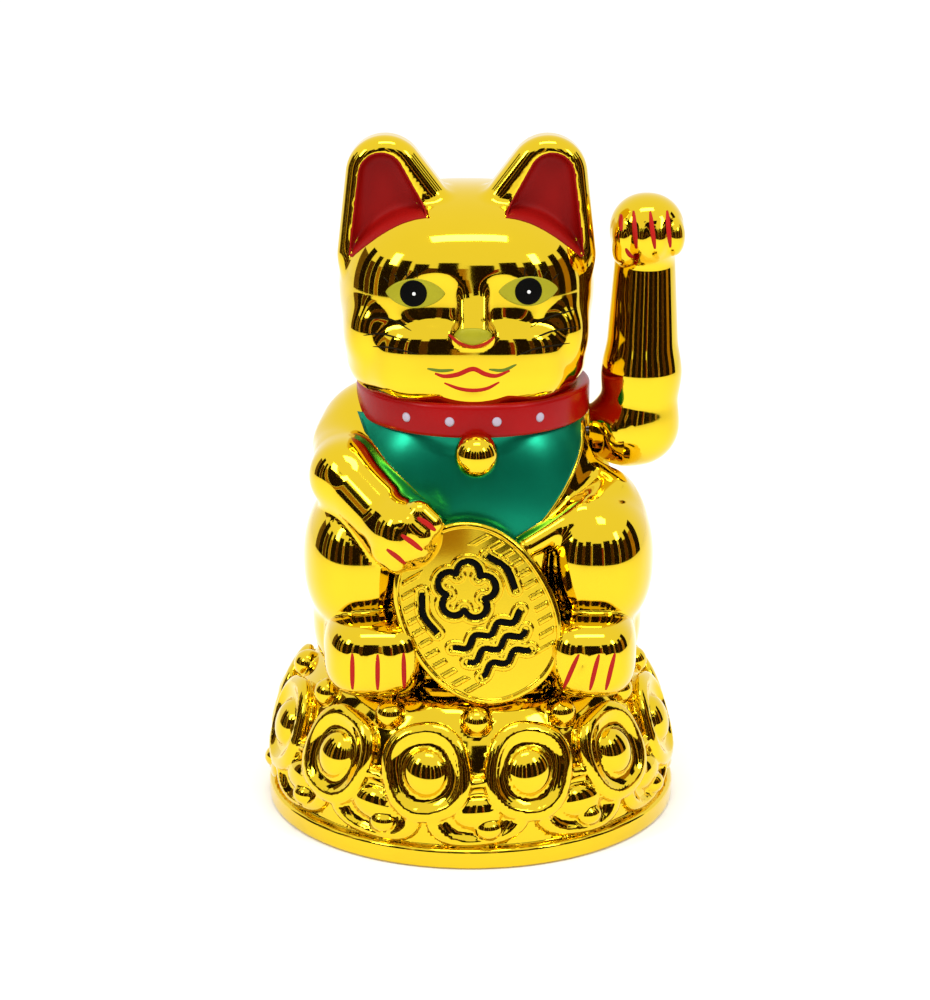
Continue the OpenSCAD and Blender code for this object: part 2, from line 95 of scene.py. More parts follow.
class Form:
    """A signed distance in mm, with a ball around it so that far points can skip it."""

    def __init__(self, distance, centre, reach):
        self.distance = distance
        self.centre = np.array(centre, float)
        self.reach = reach


def smooth_min(a, b, k):
    """Smaller of two distances, blended where they differ by less than k."""
    if k <= 0:
        return np.minimum(a, b)
    h = np.clip(0.5 + 0.5 * (b - a) / k, 0, 1)
    return b + (a - b) * h - k * h * (1 - h)


def smooth_max(a, b, k):
    return -smooth_min(-a, -b, k)


def turned(about_x=0, about_y=0, about_z=0):
    """Local axes, as columns, turned about X, then Y, then Z, in degrees."""
    cx, sx = math.cos(math.radians(about_x)), math.sin(math.radians(about_x))
    cy, sy = math.cos(math.radians(about_y)), math.sin(math.radians(about_y))
    cz, sz = math.cos(math.radians(about_z)), math.sin(math.radians(about_z))
    turn_x = np.array([[1, 0, 0], [0, cx, -sx], [0, sx, cx]])
    turn_y = np.array([[cy, 0, sy], [0, 1, 0], [-sy, 0, cy]])
    turn_z = np.array([[cz, -sz, 0], [sz, cz, 0], [0, 0, 1]])
    return turn_z @ turn_y @ turn_x


def blob(centre, radii, power=2.0, axes=None):
    """Ellipsoid, or a boxier one when power is above 2."""
    centre = np.array(centre, float)
    radii = np.array(radii, float)

    def distance(p):
        q = p - centre
        if axes is not None:
            q = q @ axes
        u = np.abs(q) / radii
        g = np.maximum((u ** power).sum(1) ** (1 / power), 1e-3)
        slope = np.sqrt(((u ** (power - 1) / radii) ** 2).sum(1)) * g ** (1 - power)
        return (g - 1) / np.maximum(slope, 1e-4)

    return Form(distance, centre, radii.max() * (1.0 if power <= 2 else 1.25))


def bone(start, end, r_start, r_end):
    """Round limb from one point to another, with a radius at each end."""
    start = np.array(start, float)
    along = np.array(end, float) - start
    length = np.linalg.norm(along)

    def distance(p):
        q = p - start
        t = np.clip((q @ along) / length ** 2, 0, 1)
        return np.linalg.norm(q - t[:, None] * along, axis=1) - (r_start + t * (r_end - r_start))

    return Form(distance, start + along / 2, length / 2 + max(r_start, r_end))


def rounded_disc(z_low, z_high, radius, edge):
    """Upright disc on the Z axis with a rounded edge."""
    z_mid, half = (z_low + z_high) / 2, (z_high - z_low) / 2

    def distance(p):
        out = np.hypot(p[:, 0], p[:, 1]) - (radius - edge)
        up = np.abs(p[:, 2] - z_mid) - (half - edge)
        return np.hypot(np.maximum(out, 0), np.maximum(up, 0)) + np.minimum(np.maximum(out, up), 0) - edge

    return Form(distance, (0, 0, z_mid), math.hypot(radius, half))


def mound_radius(z):
    """Radius of the plain mound at a height."""
    return BASE_R - 1.9 - 10.3 * np.clip(z / MOUND_TOP, 0, 1.2) ** 3


def mound_form():
    """Mound without its ingots."""
    def distance(p):
        side = (np.hypot(p[:, 0], p[:, 1]) - mound_radius(p[:, 2])) * 0.93
        return smooth_max(side, p[:, 2] - MOUND_TOP, 3)

    return Form(distance, (0, 0, 15), 54)


def flat_distance(x, z, corners):
    """Signed distance in a plane to a polygon."""
    best = np.full(x.shape, 1e9)
    inside = np.zeros(x.shape, bool)
    for (ax, az), (bx, bz) in zip(corners, corners[1:] + corners[:1]):
        ex, ez = bx - ax, bz - az
        t = np.clip(((x - ax) * ex + (z - az) * ez) / (ex * ex + ez * ez), 0, 1)
        best = np.minimum(best, np.hypot(x - ax - t * ex, z - az - t * ez))
        crosses = (az > z) != (bz > z)
        side = ax + (z - az) / (bz - az if bz != az else 1e-9) * ex
        inside ^= crosses & (x < side)
    return np.where(inside, -best, best)


# An ear lies in an upright plane at EAR_Y and is EAR_HALF thick to each side of it.
EAR_Y = -3.6
EAR_HALF = 4.9
EAR_ROUND = 8.5
EAR_EDGE = 3.4
EAR_CUP_ROUND = 5.0


def ear_outline(x, z, side):
    """Outside edge of an ear seen from the front."""
    corners = [(17.4, EAR_TOP - EAR_ROUND), (19.4, 126.0), (7.4, 130.0)]
    return flat_distance(side * (x - HEAD_MID), z, corners) - EAR_ROUND


def ear_cup_outline(x, z, side):
    """Edge of the red hollow of an ear seen from the front."""
    corners = [(18.2, EAR_TOP - 3.2 - EAR_CUP_ROUND), (20.9, 122.0), (8.5, 126.0)]
    return flat_distance(side * (x - HEAD_MID), z, corners) - EAR_CUP_ROUND


def ear_form(side):
    """Slab with the outline of an ear and rounded edges."""
    def distance(p):
        out = ear_outline(p[:, 0], p[:, 2], side) + EAR_EDGE
        deep = np.abs(p[:, 1] - EAR_Y) - (EAR_HALF - EAR_EDGE)
        round_part = np.hypot(np.maximum(out, 0), np.maximum(deep, 0))
        return round_part + np.minimum(np.maximum(out, deep), 0) - EAR_EDGE

    return Form(distance, (side * 15, EAR_Y, 136), 26)


def ear_cup_form(side):
    """Hollow of an ear, which stops at a curved ledge above the forehead."""
    def distance(p):
        x, y, z = p.T
        across = side * (x - HEAD_MID)
        ledge = 135.6 - 0.05 * (across - 11) ** 2 - z
        out = np.maximum(ear_cup_outline(x, z, side), ledge)
        return smooth_max(out + 0.4, y - (EAR_Y - EAR_HALF + 3.4), 2.6)

    return Form(distance, (side * 15, EAR_Y, 136), 30)


# ---- Fields: what a list of forms adds up to ----

# Distance given where no form of a model is near.
FAR = 60.0


def evaluate(model, points, centre, radius):
    """Signed distance of a model at points that all lie in one ball."""
    d = np.full(len(points), FAR)
    for sign, form, k in model:
        if np.linalg.norm(form.centre - centre) > form.reach + radius + k + 2:
            continue
        v = form.distance(points)
        d = smooth_min(d, v, k) if sign > 0 else smooth_max(d, -v, k)
    return d


def shell_field(outer, inner, wall):
    """Field of a hollow shell: the outer model less the inner one shrunk by the wall."""
    def field(points, centre, radius):
        outside = evaluate(outer, points, centre, radius)
        return np.maximum(outside, -(evaluate(inner, points, centre, radius + wall) + wall))

    return field


def solid_field(model):
    """Field of a model without a hollow."""
    return lambda points, centre, radius: evaluate(model, points, centre, radius)


def sample(field, points, cell=11.0):
    """Field at any points, one small cube of space at a time."""
    keys = np.floor(points / cell).astype(np.int64)
    flat = (keys[:, 0] * 1000 + keys[:, 1]) * 1000 + keys[:, 2]
    order = np.argsort(flat, kind="stable")
    cuts = np.flatnonzero(np.diff(flat[order])) + 1
    d = np.empty(len(points))
    for group in np.split(order, cuts):
        centre = (keys[group[0]] + 0.5) * cell
        d[group] = field(points[group], centre, cell * 0.9)
    return d


TETRA = np.array([[1, 1, 1], [1, -1, -1], [-1, 1, -1], [-1, -1, 1]]) / math.sqrt(3)


def value_and_normal(field, points, reach=0.05):
    """Signed distance and unit slope, from four samples around each point."""
    values = [sample(field, points + reach * corner) for corner in TETRA]
    slope = sum(v[:, None] * corner for v, corner in zip(values, TETRA))
    length = np.maximum(np.linalg.norm(slope, axis=1), 1e-9)
    return sum(values) / 4, slope / length[:, None]


# ---- Meshes from fields ----

CORNERS = [(i, j, k) for i in (0, 1) for j in (0, 1) for k in (0, 1)]
EDGES = [(a, b) for a in range(8) for b in range(a + 1, 8) if bin(a ^ b).count("1") == 1]


def grid_values(field, origin, counts, step, block=14):
    """Field on a regular grid, filled in roughly where the surface is far away."""
    values = np.empty(counts, np.float32)
    axes = [origin[a] + step * np.arange(counts[a]) for a in range(3)]
    for i in range(0, counts[0], block):
        for j in range(0, counts[1], block):
            for k in range(0, counts[2], block):
                parts = [axes[0][i:i + block], axes[1][j:j + block], axes[2][k:k + block]]
                low = np.array([part[0] for part in parts])
                high = np.array([part[-1] for part in parts])
                centre = (low + high) / 2
                radius = np.linalg.norm(high - low) / 2 + step
                middle = field(centre[None], centre, radius)[0]
                here = np.s_[i:i + block, j:j + block, k:k + block]
                if abs(middle) > 1.5 * radius + 1:
                    values[here] = middle
                    continue
                points = np.stack(np.meshgrid(*parts, indexing="ij"), -1).reshape(-1, 3)
                values[here] = field(points, centre, radius).reshape([len(part) for part in parts])
    return values, axes


def surface_nets(values, origin, step):
    """One vertex in each cell that the surface crosses, and a quad across each crossed edge."""
    inside = values < 0
    n = np.array(values.shape) - 1
    some = np.zeros(n, bool)
    every = np.ones(n, bool)
    for i, j, k in CORNERS:
        part = inside[i:n[0] + i, j:n[1] + j, k:n[2] + k]
        some |= part
        every &= part
    cells = np.argwhere(some & ~every)
    corner = np.stack([values[tuple((cells + c).T)] for c in CORNERS], 1)
    total = np.zeros((len(cells), 3))
    count = np.zeros(len(cells))
    for a, b in EDGES:
        cross = (corner[:, a] < 0) != (corner[:, b] < 0)
        t = corner[:, a] / np.where(cross, corner[:, a] - corner[:, b], 1)
        spot = np.array(CORNERS[a]) + t[:, None] * (np.array(CORNERS[b]) - np.array(CORNERS[a]))
        total += np.where(cross[:, None], spot, 0)
        count += cross
    vertices = origin + step * (cells + total / count[:, None])
    number = np.full(n, -1, np.int64)
    number[tuple(cells.T)] = np.arange(len(cells))
    quads = []
    for axis in range(3):
        one, two = [a for a in range(3) if a != axis]
        first = inside[tuple(np.s_[:-1] if a == axis else np.s_[1:-1] for a in range(3))]
        second = inside[tuple(np.s_[1:] if a == axis else np.s_[1:-1] for a in range(3))]
        at = np.argwhere(first != second)
        for a in (one, two):
            at[:, a] += 1
        ring = []
        for back_one, back_two in ((1, 1), (0, 1), (0, 0), (1, 0)):
            cell = at.copy()
            cell[:, one] -= back_one
            cell[:, two] -= back_two
            ring.append(number[tuple(cell.T)])
        quad = np.stack(ring, 1)
        flip = inside[tuple(at.T)] == (axis == 1)
        quad[flip] = quad[flip][:, ::-1]
        quads.append(quad)
    return vertices, np.concatenate(quads)


def field_mesh(field, low, high, step, planes=()):
    """Closed mesh of a field, cut by planes given as (axis, place, side that is kept)."""
    low, high = np.array(low, float), np.array(high, float)
    origin = low - 2 * step
    for axis, place, side in planes:
        origin[axis] = place - (math.ceil((place - origin[axis]) / step) + 0.5) * step
    counts = np.ceil((high + 2 * step - origin) / step).astype(int) + 1
    values, axes = grid_values(field, origin, counts, step)
    for axis, place, side in planes:
        shape = [1, 1, 1]
        shape[axis] = -1
        values = np.maximum(values, (side * (place - axes[axis])).reshape(shape))
    vertices, quads = surface_nets(values, origin, step)
    on_plane = [np.abs(vertices[:, axis] - place) < 0.55 * step for axis, place, side in planes]
    for (axis, place, side), near in zip(planes, on_plane):
        vertices[near, axis] = place
    cut = np.any(on_plane, axis=0) if planes else np.zeros(len(vertices), bool)
    for _ in range(3):
        value, normal = value_and_normal(field, vertices)
        move = -np.clip(value, -0.6 * step, 0.6 * step)[:, None] * normal
        move[cut & (np.abs(value) > 0.8 * step)] = 0
        for (axis, place, side), near in zip(planes, on_plane):
            move[near, axis] = 0
        vertices += move
    value, normal = value_and_normal(field, vertices)
    for (axis, place, side), near in zip(planes, on_plane):
        flat = near & (np.abs(value) > 0.1)
        normal[flat] = 0
        normal[flat, axis] = -side
    return vertices, quads, normal


def add_to_scene(name, data):
    thing = bpy.data.objects.new(name, data)
    bpy.context.scene.collection.objects.link(thing)
    return thing


def new_object(name, vertices, faces, material, body, normals=None):
    """Mesh object from millimetre vertices, riding on a body.

    A face that repeats its last corner is a triangle.
    """
    mesh = bpy.data.meshes.new(name)
    faces = np.asarray(faces)
    keep = np.ones(faces.shape, bool)
    keep[:, -1] = faces[:, -1] != faces[:, -2]
    starts = np.append(0, np.cumsum(keep.sum(1))[:-1]).astype(np.int32)
    corners = faces[keep].astype(np.int32)
    mesh.vertices.add(len(vertices))
    mesh.vertices.foreach_set("co", (np.asarray(vertices) * MM).ravel())
    mesh.loops.add(len(corners))
    mesh.loops.foreach_set("vertex_index", corners)
    mesh.polygons.add(len(faces))
    mesh.polygons.foreach_set("loop_start", starts)
    mesh.update(calc_edges=True)
    mesh.validate()
    mesh.polygons.foreach_set("use_smooth", np.full(len(mesh.polygons), True))
    if normals is not None:
        mesh.normals_split_custom_set_from_vertices(normals.tolist())
    piece = add_to_scene(name, mesh)
    mesh.materials.append(material)
    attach(piece, body)
    return piece


# ---- Materials ----

def new_material(name, color, rough, metallic=0.0, vary=0.06, grain=18.0, bump=0.0, **sockets):
    """Principled material whose colour and roughness wander a little, with an optional fine bump."""
    material = bpy.data.materials.new(name)
    material.use_nodes = True
    nodes, links = material.node_tree.nodes, material.node_tree.links
    shader = nodes["Principled BSDF"]
    place = nodes.new("ShaderNodeTexCoord")
    noise = nodes.new("ShaderNodeTexNoise")
    noise.inputs["Scale"].default_value = grain
    noise.inputs["Detail"].default_value = 4
    links.new(place.outputs["Object"], noise.inputs["Vector"])
    ramp = nodes.new("ShaderNodeValToRGB")
    ramp.color_ramp.elements[0].position = 0.3
    ramp.color_ramp.elements[1].position = 0.7
    ramp.color_ramp.elements[0].color = (*[c * (1 - vary) for c in color], 1)
    ramp.color_ramp.elements[1].color = (*[min(c * (1 + vary), 1) for c in color], 1)
    links.new(noise.outputs["Fac"], ramp.inputs["Fac"])
    links.new(ramp.outputs["Color"], shader.inputs["Base Color"])
    spread = nodes.new("ShaderNodeMapRange")
    spread.inputs["To Min"].default_value = rough * 0.85
    spread.inputs["To Max"].default_value = rough * 1.15
    links.new(noise.outputs["Fac"], spread.inputs["Value"])
    links.new(spread.outputs["Result"], shader.inputs["Roughness"])
    shader.inputs["Metallic"].default_value = metallic
    for socket, value in sockets.items():
        shader.inputs[socket.replace("_", " ")].default_value = value
    if bump > 0:
        fine = nodes.new("ShaderNodeTexNoise")
        fine.inputs["Scale"].default_value = grain * 12
        links.new(place.outputs["Object"], fine.inputs["Vector"])
        relief = nodes.new("ShaderNodeBump")
        relief.inputs["Strength"].default_value = 0.5
        relief.inputs["Distance"].default_value = bump * MM
        links.new(fine.outputs["Fac"], relief.inputs["Height"])
        links.new(relief.outputs["Normal"], shader.inputs["Normal"])
    return material


GOLD = new_material("plated_gold", (0.81, 0.565, 0.013), 0.055, 1.0, 0.03, 25,
                    Coat_Weight=0.25, Coat_Roughness=0.04, Coat_IOR=1.5)
RED = new_material("collar_red", (0.30, 0.0008, 0.001), 0.25, 0.0, 0.12, 60, 0.02, IOR=1.25)
EAR_RED = new_material("ear_red", (0.27, 0.0025, 0.0015), 0.5, 0.0, 0.12, 70, 0.03,
                       Specular_IOR_Level=0.12)
STROKE_RED = new_material("stroke_red", (0.40, 0.008, 0.003), 0.4, 0.0, 0.1, 90, 0.02,
                          Specular_IOR_Level=0.15)
TEAL = new_material("bib_teal", (0.0, 0.26, 0.14), 0.3, 0.8, 0.14, 45, 0.03)
PEARL = new_material("pearl_dots", (0.42, 0.36, 0.44), 0.35, 0.0, 0.08, 150, 0.02, Specular_IOR_Level=0.3)
OLIVE = new_material("olive_paint", (0.34, 0.31, 0.008), 0.4, 0.1, 0.08, 110, 0.02, Specular_IOR_Level=0.2)
# Dark olive green for the painted shade beside the mouth.
MOUTH_SHADE = new_material("green_tint", (0.11, 0.16, 0.008), 0.4, 0.1, 0.1, 110, 0.02, Specular_IOR_Level=0.2)
INK = new_material("black_ink", (0.0015, 0.0015, 0.001), 0.5, 0.0, 0.3, 120, 0.02, Specular_IOR_Level=0.06)
LINE_INK = new_material("line_ink", (0.012, 0.008, 0.003), 0.6, 0.0, 0.2, 120, IOR=1.1)
# White of the small dots on the pupils: a painted highlight, the glint of the lamps.
PAINTED_EYE_HIGHLIGHT = new_material("eye_glint", (0.75, 0.75, 0.72), 0.3, 0.0, 0.03, 200)


# ---- The figure ----

INGOTS = 12
FIRST_INGOT = 17.0


def on_mound(angle, z, out=0.0):
    """Place on the mound at an angle from the front, and the axes there: across, up, outward."""
    turn = math.radians(angle)
    lean = math.atan2(mound_radius(z - 2) - mound_radius(z + 2), 4)
    outward = np.array([math.sin(turn) * math.cos(lean), -math.cos(turn) * math.cos(lean), math.sin(lean)])
    across = np.array([math.cos(turn), math.sin(turn), 0])
    up = np.cross(outward, across) * -1
    radius = float(mound_radius(np.float64(z)))
    spot = np.array([math.sin(turn) * radius, -math.cos(turn) * radius, z]) + out * outward
    return spot, np.stack([across, up, outward], 1)


def ingot(angle, z, width, height, lean, out, dome):
    """Oval dish with a raised rim and a dome in the middle."""
    spot, axes = on_mound(angle, z, out)
    axes = axes @ turned(about_z=lean)
    outward = axes[:, 2]
    w, h = width / 2, height / 2
    return [(1, blob(spot, (w, h, 2.5), 2.4, axes), 0.4),
            (-1, blob(spot + 2.7 * outward, (w * 0.82, h * 0.82, 2.6), 2.3, axes), 0.5),
            (1, blob(spot + 0.1 * outward, (w * 0.58, h * 0.58, 0.9), 3.0, axes), 0.3),
            (1, blob(spot + 0.2 * outward, (w * 0.5, h * 0.5, dome), 2.0, axes), 0.3)]


def mound_model():
    """Mound with a low row of ingots, a high row over it, beads between them and a foot ring."""
    model = [(1, mound_form(), 0)]
    step = 360 / INGOTS
    for i in range(INGOTS):
        angle = FIRST_INGOT + step * i
        model += ingot(angle + step / 2, 12.5, 23, 15.5, 6 * (-1) ** i, -0.4, 2.6)
    for i in range(INGOTS):
        angle = FIRST_INGOT + step * i
        model += ingot(angle, 20.5, 19.6, 21.5, 14 * (-1) ** i, 0.2, 3.0)
    for i in range(INGOTS):
        angle = FIRST_INGOT + step * (i + 0.5)
        model.append((1, blob(on_mound(angle, 30.5)[0], (3.3, 3.3, 3.3)), 0.4))
        model.append((1, blob(on_mound(angle + 3, 9.0, -0.3)[0], (3.4, 3.4, 2.8)), 0.4))
    model.append((1, rounded_disc(0, 4.6, BASE_R, 0.9), 0.3))
    return model


# Each foot's X and half width. Its claw grooves run from X at CLAW_TOP to X at CLAW_LOW.
FEET = ((-20.4, 11.6), (25.6, 10.4))
FOOT_CLAWS = (((-25.2, -25.3), (-19.8, -19.9), (-14.3, -14.2)), ((23.0, 19.8), (27.3, 25.5), (30.7, 28.9)))
CLAW_TOP, CLAW_LOW = 46.0, 37.6


def torso_model():
    """Body, shoulder, thighs, haunches, feet and tail."""
    model = [(1, blob((0, 1.5, 55), (34.5, 27.5, 34), 2.4), 3),
             (1, blob((0, 1.5, 79), (28.5, 24.5, 21), 2.3), 9),
             (1, blob((-20, 2, 80), (15.0, 15, 16.5)), 3)]
    for x, w in ((-24.0, 12.8), (26.8, 13.4)):
        model.append((1, blob((x, -10.5, 60), (w, 19, 16.5), 2.35), 1.5))
    for x, w in ((-24.4, 11.0), (26.6, 11.6)):
        model.append((1, blob((x, -3, 46), (w, 19, 15), 2.6), 1.5))
    for foot, reach in FEET:
        model.append((1, blob((foot, -21, 42.8), (reach, 16.6, 9.6), 3.0), 0.7))
    for claws in FOOT_CLAWS:
        for high, low in claws:
            model.append((-1, bone((high, -38.2, CLAW_TOP - 2), (low, -38.6, CLAW_LOW - 1), 1.1, 1.3), 1.4))
    model.append((1, bone((0, 27, 42), (14, 26, 38), 5.6, 5.2), 1.5))
    model.append((1, bone((14, 26, 38), (25, 20, 43), 5.2, 4.2), 1.5))
    return model


def fold_model():
    """Raised fold from the beckoning shoulder down to the coin."""
    return [(1, blob((27.5, -8, 69.5), (9.5, 9.5, 10.5)), 3.0),
            (1, bone((31.0, -12.0, 75.0), (24, -20.5, 71.8), 2.8, 3.0), 3.0),
            (1, bone((24, -20.5, 72.0), (12, -26.5, 66.5), 2.8, 2.4), 2.0)]


def head_model():
    """Skull, jaw, eye sockets, cheeks, muzzle, nose and chin."""
    model = [(1, blob((HEAD_MID, 0, 117.0), (HEAD_X, 22.4, 21.0), 2.5), 2),
             (1, blob((HEAD_MID, 4, 121), (26.6, 18.6, 19.3), 2.5), 4),
             (1, blob((HEAD_MID, -0.5, 106), (26.4, 22.0, 13.2), 2.8), 2)]
    for side in (-1, 1):
        model.append((-1, blob((side * 12.8, -32.7, 119.9), (14.2, 12.0, 9.0), 3.4), 0.8))
    for side in (-1, 1):
        model.append((1, blob((HEAD_MID + side * 18.5, -9.0, 110.6), (7.8, 10.4, 8.6), 2.4), 2))
    model.append((1, blob((-0.3, -8.6, 105.6), (22.0, 16.0, 10.8), 3.3), 1.2))
    model.append((1, blob((0.5, -20.6, 117.8), (3.3, 3.1, 7.6), 4, turned(-26)), 0.8))
    model.append((1, blob((0.5, -22.2, 112.4), (4.7, 4.3, 2.8), 2.3), 1.0))
    model.append((1, blob((0.5, -19.2, 98.6), (8.0, 5.2, 3.8)), 1.6))
    return model


# Middle of the held paw's claw strokes, the way they run, and the way across them, in X and Z.
HELD_STROKE = np.array([-12.4, 70.8])
HELD_ALONG = np.array([0.76, -0.65])
HELD_ASIDE = np.array([0.65, 0.76])


def held_arm_model():
    """Arm that holds the coin, with four finger lobes."""
    model = [(1, bone((-27, -3, 82.5), (-26.6, -16, 79.4), 7.6, 8.1), 2.5),
             (1, bone((-26.6, -16, 79.4), (-14.8, -28.0, 70.4), 8.1, 7.8), 1.5),
             (1, blob((-13.8, -29.8, 70.6), (8.0, 7.6, 8.0)), 2.0)]
    for finger in (-6.3, -2.3, 1.9, 5.0):
        spot = HELD_STROKE + finger * HELD_ASIDE
        start, end = spot - 2.2 * HELD_ALONG, spot + 1.0 * HELD_ALONG
        y = -34.2 + 0.05 * finger ** 2
        model.append((1, bone((start[0], y, start[1]), (end[0], y - 0.6, end[1]), 3.0, 2.8), 0.8))
    return model


def bell_model():
    return [(1, blob((1.2, -26.8, 87.0), (4.7, 4.9, 4.9)), 0.4)]


SEAT_X = 25.4
SEAT_R = 9.3


def shoulder_seat():
    """Round space in the left shoulder, in which the beckoning arm turns."""
    def distance(p):
        return np.maximum(SEAT_X - p[:, 0], np.hypot(p[:, 1], p[:, 2] - PIVOT_Z) - SEAT_R)

    return Form(distance, (40, 0, PIVOT_Z), 48)


def figure_models():
    """Outer model of the figure, and the inner one that its hollow follows."""
    ears = [(1, ear_form(side), 1.6) for side in (-1, 1)]
    cups = [(-1, ear_cup_form(side), 0.8) for side in (-1, 1)]
    neck = [(1, rounded_disc(84, 100, 22.5, 3), 1)]
    seat = [(-1, shoulder_seat(), 2.0)]
    outer = mound_model() + torso_model() + fold_model() + seat + neck + head_model() + ears + cups
    outer += held_arm_model() + bell_model()
    inner = [(1, mound_form(), 0), (1, rounded_disc(-8, 5, BASE_R, 1), 0)]
    inner += torso_model()[:2] + [(-1, shoulder_seat(), 1)] + neck + head_model()[:3]
    pendulum_room = blob((0, 0, 50), (12, 26.4, 22), 3.0)
    inner.append((1, pendulum_room, 0))
    return outer, inner


def model_figure():
    outer, inner = figure_models()
    field = shell_field(outer, inner, WALL)
    high = (BASE_R, BASE_R, EAR_TOP + 1)
    halves = (("gold_front_shell", "front_shell", -1), ("gold_rear_shell", "rear_shell", 1))
    for name, node, side in halves:
        low_y, high_y = (-BASE_R, 0.0) if side < 0 else (0.0, BASE_R)
        planes = ((1, 0.0, side), (2, 0.0, 1))
        vertices, quads, normals = field_mesh(field, (-BASE_R, low_y, -0.5), (high[0], high_y, high[2]),
                                              STEP_SHELL, planes)
        piece = new_object(name, vertices, quads, GOLD, "figure", normals)
        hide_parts(node)
    return solid_field(outer)


# ---- The beckoning arm ----

# X at the top and at the foot of each claw stroke.
PAW_CLAWS = ((34.8, 35.4), (38.3, 39.4), (42.0, 42.8))


def arm_models():
    """Outer and inner model of the beckoning arm, from its cut root to its paw."""
    x = ARM_OUT - 8.0
    root = 26.0
    end = Form(lambda p: p[:, 0] - root, (root, 0, PIVOT_Z), 90)
    outer = [(1, bone((root + 0.8, 0, PIVOT_Z + 1.0), (33.5, 0, PIVOT_Z + 0.9), 4.9, 8.0), 0),
             (1, bone((33.5, 0, PIVOT_Z + 0.9), (36.9, -0.4, PIVOT_Z + 2.0), 8.0, 8.6), 2.5),
             (1, bone((36.9, -0.4, PIVOT_Z + 2.0), (37.5, -1.0, 99), 8.6, 8.3), 2.5),
             (1, bone((37.5, -1.0, 99), (38.0, 2.0, 124), 8.3, 6.6), 2.5),
             (-1, end, 0)]
    inner = list(outer)
    top = ARM_TOP - 8.0
    outer.append((1, blob((x - 0.2, -0.8, top), (8.1, 7.8, 8.0), 2.1), 1.8))
    inner.append((1, blob((x - 0.2, -0.4, top - 0.5), (7.4, 7.0, 7.4)), 1.6))
    finger_x = [0.5 * (a[0] + b[0]) for a, b in zip(PAW_CLAWS, PAW_CLAWS[1:])]
    for spot in [finger_x[0] - 3.8, *finger_x, finger_x[-1] + 3.7]:
        back = 0.05 * (spot - x) ** 2
        outer.append((1, blob((spot, -5.8 + back, top - 0.8), (2.3, 3.4, 4.2)), 0.7))
    outer.append((1, blob((x - 5.3, -3.0, top - 4.2), (2.5, 3.4, 3.2)), 1.0))
    return outer, inner


def model_arm():
    outer, inner = arm_models()
    field = shell_field(outer, inner, ARM_WALL)
    low = (25.0, -12, PIVOT_Z - 10)
    high = (ARM_OUT + 1, 12, ARM_TOP + 1)
    halves = (("gold_arm_front", "arm_front_shell", -1), ("gold_arm_rear", "arm_rear_shell", 1))
    for name, node, side in halves:
        box_low = (low[0], low[1] if side < 0 else 0, low[2])
        box_high = (high[0], 0 if side < 0 else high[1], high[2])
        vertices, quads, normals = field_mesh(field, box_low, box_high, STEP_ARM, ((1, 0.0, side),))
        piece = new_object(name, vertices, quads, GOLD, "arm", normals)
        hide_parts(node)
    return solid_field(outer)


figure_field = model_figure()
arm_field = model_arm()


# ---- The coin ----

# The coin is an oval about COIN_LONG and COIN_SHORT, and its face is COIN_FIELD above its middle plane.
COIN_CENTRE = np.array([1.5, -31.4, 53.4])
COIN_LEAN = math.radians(7)
COIN_TURN = math.radians(-60)
COIN_HALF = (20.6, 16.4)
COIN_POWER = 2.2
COIN_UP = np.array([0, math.sin(COIN_LEAN), math.cos(COIN_LEAN)])
COIN_OUT = np.array([0, -math.cos(COIN_LEAN), math.sin(COIN_LEAN)])
COIN_LONG = math.cos(COIN_TURN) * np.array([1, 0, 0]) + math.sin(COIN_TURN) * COIN_UP
COIN_SHORT = np.cross(COIN_OUT, COIN_LONG)
COIN_BACK = -2.3
COIN_FIELD = 1.7
COIN_EDGE = 0.9
INK_WIDTH = 1.5


def smooth_route(points, steps=8):
    """Catmull-Rom curve through a few points."""
    p = np.array(points, float)
    ends = np.vstack([2 * p[0] - p[1], p, 2 * p[-1] - p[-2]])
    t = np.linspace(0, 1, steps, endpoint=False)[:, None]
    parts = []
    for a, b, c, d in zip(ends, ends[1:], ends[2:], ends[3:]):
        parts.append(b + 0.5 * t * (c - a + t * (2 * a - 5 * b + 4 * c - d + t * (3 * (b - c) + d - a))))
    return np.vstack(parts + [p[-1:]])


def ornament():
    """Generic blossom, waves and leaves, as routes in the coin's own plane."""
    routes = []
    middle = np.array([-5.6, 0.4])
    for petal in range(5):
        turn = math.radians(72 * petal)
        place = middle + 3.9 * np.array([math.cos(turn), math.sin(turn)])
        angles = turn + np.radians(np.linspace(-112, 112, 17))
        routes.append(place + 2.5 * np.stack([np.cos(angles), np.sin(angles)], 1))
    for wave in range(3):
        v = np.linspace(-8.4 + 1.2 * wave, 8.4 - 1.2 * wave, 31)
        routes.append(np.stack([4.6 + 3.5 * wave + 0.8 * np.cos(v * 1.1), v], 1))
    for side in (-1, 1):
        routes.append(smooth_route([(-10.0, side * 8.0), (-5.5, side * 10.2), (-0.6, side * 9.6)]))
    return routes


ORNAMENT = ornament()


def route_distance(u, v, route):
    """Distance in the coin's plane to a route."""
    best = np.full(u.shape, 99.0)
    for (au, av), (bu, bv) in zip(route, route[1:]):
        eu, ev = bu - au, bv - av
        t = np.clip(((u - au) * eu + (v - av) * ev) / (eu * eu + ev * ev), 0, 1)
        best = np.minimum(best, np.hypot(u - au - t * eu, v - av - t * ev))
    return best


def step_up(x, width):
    """Smooth step from 0 to 1 over a width around 0."""
    t = np.clip(0.5 + x / width, 0, 1)
    return t * t * (3 - 2 * t)


